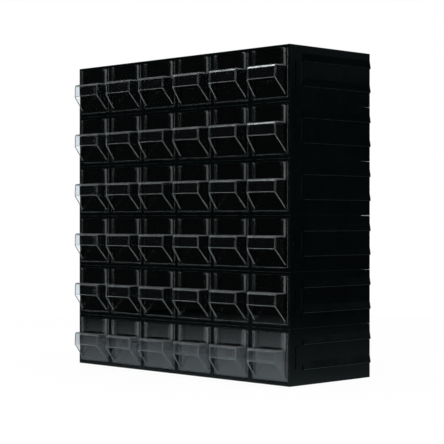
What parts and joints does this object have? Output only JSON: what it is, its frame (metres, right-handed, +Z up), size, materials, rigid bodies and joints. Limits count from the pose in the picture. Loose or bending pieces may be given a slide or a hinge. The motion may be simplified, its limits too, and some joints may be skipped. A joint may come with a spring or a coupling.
{
  "type": "parts bin cabinet",
  "caption": "Wall of stacked black drawer cases with clear pull-out bins, each bin with a hooded pull, for small parts.",
  "frame": {"origin": "middle of the bottom case's base, half way between its end walls and between its front edge and its back", "axes": "+Z up, -Y towards the drawers' fronts, +X along the row of drawers to the right as seen from the front"},
  "size_m": [0.3875, 0.1598, 0.3975],
  "materials": {
    "case_plastic": "gloss",
    "clear_plastic": "gloss"
  },
  "bodies": {
    "cabinet": {"case_row1": "case_plastic", "case_row2": "case_plastic", "case_row3": "case_plastic", "case_row4": "case_plastic", "case_row5": "case_plastic", "case_row6": "case_plastic", "back_row1": "case_plastic", "back_row2": "case_plastic", "back_row3": "case_plastic", "back_row4": "case_plastic", "back_row5": "case_plastic", "back_row6": "case_plastic"},
    "drawer_r1c1": {"drawer_r1c1": "clear_plastic"},
    "drawer_r1c2": {"drawer_r1c2": "clear_plastic"},
    "drawer_r1c3": {"drawer_r1c3": "clear_plastic"},
    "drawer_r1c4": {"drawer_r1c4": "clear_plastic"},
    "drawer_r1c5": {"drawer_r1c5": "clear_plastic"},
    "drawer_r1c6": {"drawer_r1c6": "clear_plastic"},
    "drawer_r2c1": {"drawer_r2c1": "clear_plastic"},
    "drawer_r2c2": {"drawer_r2c2": "clear_plastic"},
    "drawer_r2c3": {"drawer_r2c3": "clear_plastic"},
    "drawer_r2c4": {"drawer_r2c4": "clear_plastic"},
    "drawer_r2c5": {"drawer_r2c5": "clear_plastic"},
    "drawer_r2c6": {"drawer_r2c6": "clear_plastic"},
    "drawer_r3c1": {"drawer_r3c1": "clear_plastic"},
    "drawer_r3c2": {"drawer_r3c2": "clear_plastic"},
    "drawer_r3c3": {"drawer_r3c3": "clear_plastic"},
    "drawer_r3c4": {"drawer_r3c4": "clear_plastic"},
    "drawer_r3c5": {"drawer_r3c5": "clear_plastic"},
    "drawer_r3c6": {"drawer_r3c6": "clear_plastic"},
    "drawer_r4c1": {"drawer_r4c1": "clear_plastic"},
    "drawer_r4c2": {"drawer_r4c2": "clear_plastic"},
    "drawer_r4c3": {"drawer_r4c3": "clear_plastic"},
    "drawer_r4c4": {"drawer_r4c4": "clear_plastic"},
    "drawer_r4c5": {"drawer_r4c5": "clear_plastic"},
    "drawer_r4c6": {"drawer_r4c6": "clear_plastic"},
    "drawer_r5c1": {"drawer_r5c1": "clear_plastic"},
    "drawer_r5c2": {"drawer_r5c2": "clear_plastic"},
    "drawer_r5c3": {"drawer_r5c3": "clear_plastic"},
    "drawer_r5c4": {"drawer_r5c4": "clear_plastic"},
    "drawer_r5c5": {"drawer_r5c5": "clear_plastic"},
    "drawer_r5c6": {"drawer_r5c6": "clear_plastic"},
    "drawer_r6c1": {"drawer_r6c1": "clear_plastic"},
    "drawer_r6c2": {"drawer_r6c2": "clear_plastic"},
    "drawer_r6c3": {"drawer_r6c3": "clear_plastic"},
    "drawer_r6c4": {"drawer_r6c4": "clear_plastic"},
    "drawer_r6c5": {"drawer_r6c5": "clear_plastic"},
    "drawer_r6c6": {"drawer_r6c6": "clear_plastic"}
  },
  "joints": [
    {"name": "slide_r1c1", "type": "slide", "parent": "cabinet", "child": "drawer_r1c1", "axis": [0, -1, 0], "range_m": [0, 0.11]},
    {"name": "slide_r1c2", "type": "slide", "parent": "cabinet", "child": "drawer_r1c2", "axis": [0, -1, 0], "range_m": [0, 0.11]},
    {"name": "slide_r1c3", "type": "slide", "parent": "cabinet", "child": "drawer_r1c3", "axis": [0, -1, 0], "range_m": [0, 0.11]},
    {"name": "slide_r1c4", "type": "slide", "parent": "cabinet", "child": "drawer_r1c4", "axis": [0, -1, 0], "range_m": [0, 0.11]},
    {"name": "slide_r1c5", "type": "slide", "parent": "cabinet", "child": "drawer_r1c5", "axis": [0, -1, 0], "range_m": [0, 0.11]},
    {"name": "slide_r1c6", "type": "slide", "parent": "cabinet", "child": "drawer_r1c6", "axis": [0, -1, 0], "range_m": [0, 0.11]},
    {"name": "slide_r2c1", "type": "slide", "parent": "cabinet", "child": "drawer_r2c1", "axis": [0, -1, 0], "range_m": [0, 0.11]},
    {"name": "slide_r2c2", "type": "slide", "parent": "cabinet", "child": "drawer_r2c2", "axis": [0, -1, 0], "range_m": [0, 0.11]},
    {"name": "slide_r2c3", "type": "slide", "parent": "cabinet", "child": "drawer_r2c3", "axis": [0, -1, 0], "range_m": [0, 0.11]},
    {"name": "slide_r2c4", "type": "slide", "parent": "cabinet", "child": "drawer_r2c4", "axis": [0, -1, 0], "range_m": [0, 0.11]},
    {"name": "slide_r2c5", "type": "slide", "parent": "cabinet", "child": "drawer_r2c5", "axis": [0, -1, 0], "range_m": [0, 0.11]},
    {"name": "slide_r2c6", "type": "slide", "parent": "cabinet", "child": "drawer_r2c6", "axis": [0, -1, 0], "range_m": [0, 0.11]},
    {"name": "slide_r3c1", "type": "slide", "parent": "cabinet", "child": "drawer_r3c1", "axis": [0, -1, 0], "range_m": [0, 0.11]},
    {"name": "slide_r3c2", "type": "slide", "parent": "cabinet", "child": "drawer_r3c2", "axis": [0, -1, 0], "range_m": [0, 0.11]},
    {"name": "slide_r3c3", "type": "slide", "parent": "cabinet", "child": "drawer_r3c3", "axis": [0, -1, 0], "range_m": [0, 0.11]},
    {"name": "slide_r3c4", "type": "slide", "parent": "cabinet", "child": "drawer_r3c4", "axis": [0, -1, 0], "range_m": [0, 0.11]},
    {"name": "slide_r3c5", "type": "slide", "parent": "cabinet", "child": "drawer_r3c5", "axis": [0, -1, 0], "range_m": [0, 0.11]},
    {"name": "slide_r3c6", "type": "slide", "parent": "cabinet", "child": "drawer_r3c6", "axis": [0, -1, 0], "range_m": [0, 0.11]},
    {"name": "slide_r4c1", "type": "slide", "parent": "cabinet", "child": "drawer_r4c1", "axis": [0, -1, 0], "range_m": [0, 0.11]},
    {"name": "slide_r4c2", "type": "slide", "parent": "cabinet", "child": "drawer_r4c2", "axis": [0, -1, 0], "range_m": [0, 0.11]},
    {"name": "slide_r4c3", "type": "slide", "parent": "cabinet", "child": "drawer_r4c3", "axis": [0, -1, 0], "range_m": [0, 0.11]},
    {"name": "slide_r4c4", "type": "slide", "parent": "cabinet", "child": "drawer_r4c4", "axis": [0, -1, 0], "range_m": [0, 0.11]},
    {"name": "slide_r4c5", "type": "slide", "parent": "cabinet", "child": "drawer_r4c5", "axis": [0, -1, 0], "range_m": [0, 0.11]},
    {"name": "slide_r4c6", "type": "slide", "parent": "cabinet", "child": "drawer_r4c6", "axis": [0, -1, 0], "range_m": [0, 0.11]},
    {"name": "slide_r5c1", "type": "slide", "parent": "cabinet", "child": "drawer_r5c1", "axis": [0, -1, 0], "range_m": [0, 0.11]},
    {"name": "slide_r5c2", "type": "slide", "parent": "cabinet", "child": "drawer_r5c2", "axis": [0, -1, 0], "range_m": [0, 0.11]},
    {"name": "slide_r5c3", "type": "slide", "parent": "cabinet", "child": "drawer_r5c3", "axis": [0, -1, 0], "range_m": [0, 0.11]},
    {"name": "slide_r5c4", "type": "slide", "parent": "cabinet", "child": "drawer_r5c4", "axis": [0, -1, 0], "range_m": [0, 0.11]},
    {"name": "slide_r5c5", "type": "slide", "parent": "cabinet", "child": "drawer_r5c5", "axis": [0, -1, 0], "range_m": [0, 0.11]},
    {"name": "slide_r5c6", "type": "slide", "parent": "cabinet", "child": "drawer_r5c6", "axis": [0, -1, 0], "range_m": [0, 0.11]},
    {"name": "slide_r6c1", "type": "slide", "parent": "cabinet", "child": "drawer_r6c1", "axis": [0, -1, 0], "range_m": [0, 0.11]},
    {"name": "slide_r6c2", "type": "slide", "parent": "cabinet", "child": "drawer_r6c2", "axis": [0, -1, 0], "range_m": [0, 0.11]},
    {"name": "slide_r6c3", "type": "slide", "parent": "cabinet", "child": "drawer_r6c3", "axis": [0, -1, 0], "range_m": [0, 0.11]},
    {"name": "slide_r6c4", "type": "slide", "parent": "cabinet", "child": "drawer_r6c4", "axis": [0, -1, 0], "range_m": [0, 0.11]},
    {"name": "slide_r6c5", "type": "slide", "parent": "cabinet", "child": "drawer_r6c5", "axis": [0, -1, 0], "range_m": [0, 0.11]},
    {"name": "slide_r6c6", "type": "slide", "parent": "cabinet", "child": "drawer_r6c6", "axis": [0, -1, 0], "range_m": [0, 0.11]}
  ]
}
